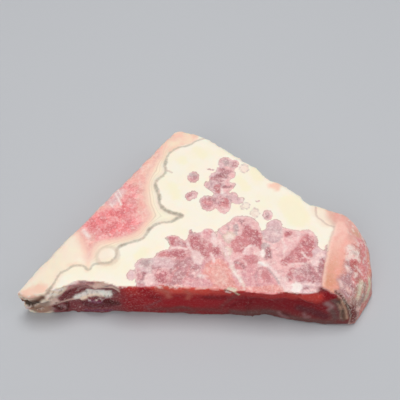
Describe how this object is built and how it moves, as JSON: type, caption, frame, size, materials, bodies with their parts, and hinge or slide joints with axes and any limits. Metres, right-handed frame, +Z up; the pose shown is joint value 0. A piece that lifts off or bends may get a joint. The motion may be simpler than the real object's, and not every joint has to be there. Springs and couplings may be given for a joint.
{
  "type": "rhodochrosite slice",
  "caption": "Rough triangular slab of banded mineral with flat sawn faces, a cleaved front and a rounded rind end; lies flat as a specimen.",
  "frame": {"origin": "middle of the slab's box, on the surface that it rests on", "axes": "+Z up through the slab's thickness, +X the long way towards the rind end, front face towards -Y"},
  "size_m": [0.1, 0.0638, 0.0135],
  "materials": {
    "rhodochrosite": "unpolished saw cut, banded cream and rose"
  },
  "bodies": {
    "root": {"rhodochrosite_slice": "rhodochrosite"}
  },
  "joints": []
}
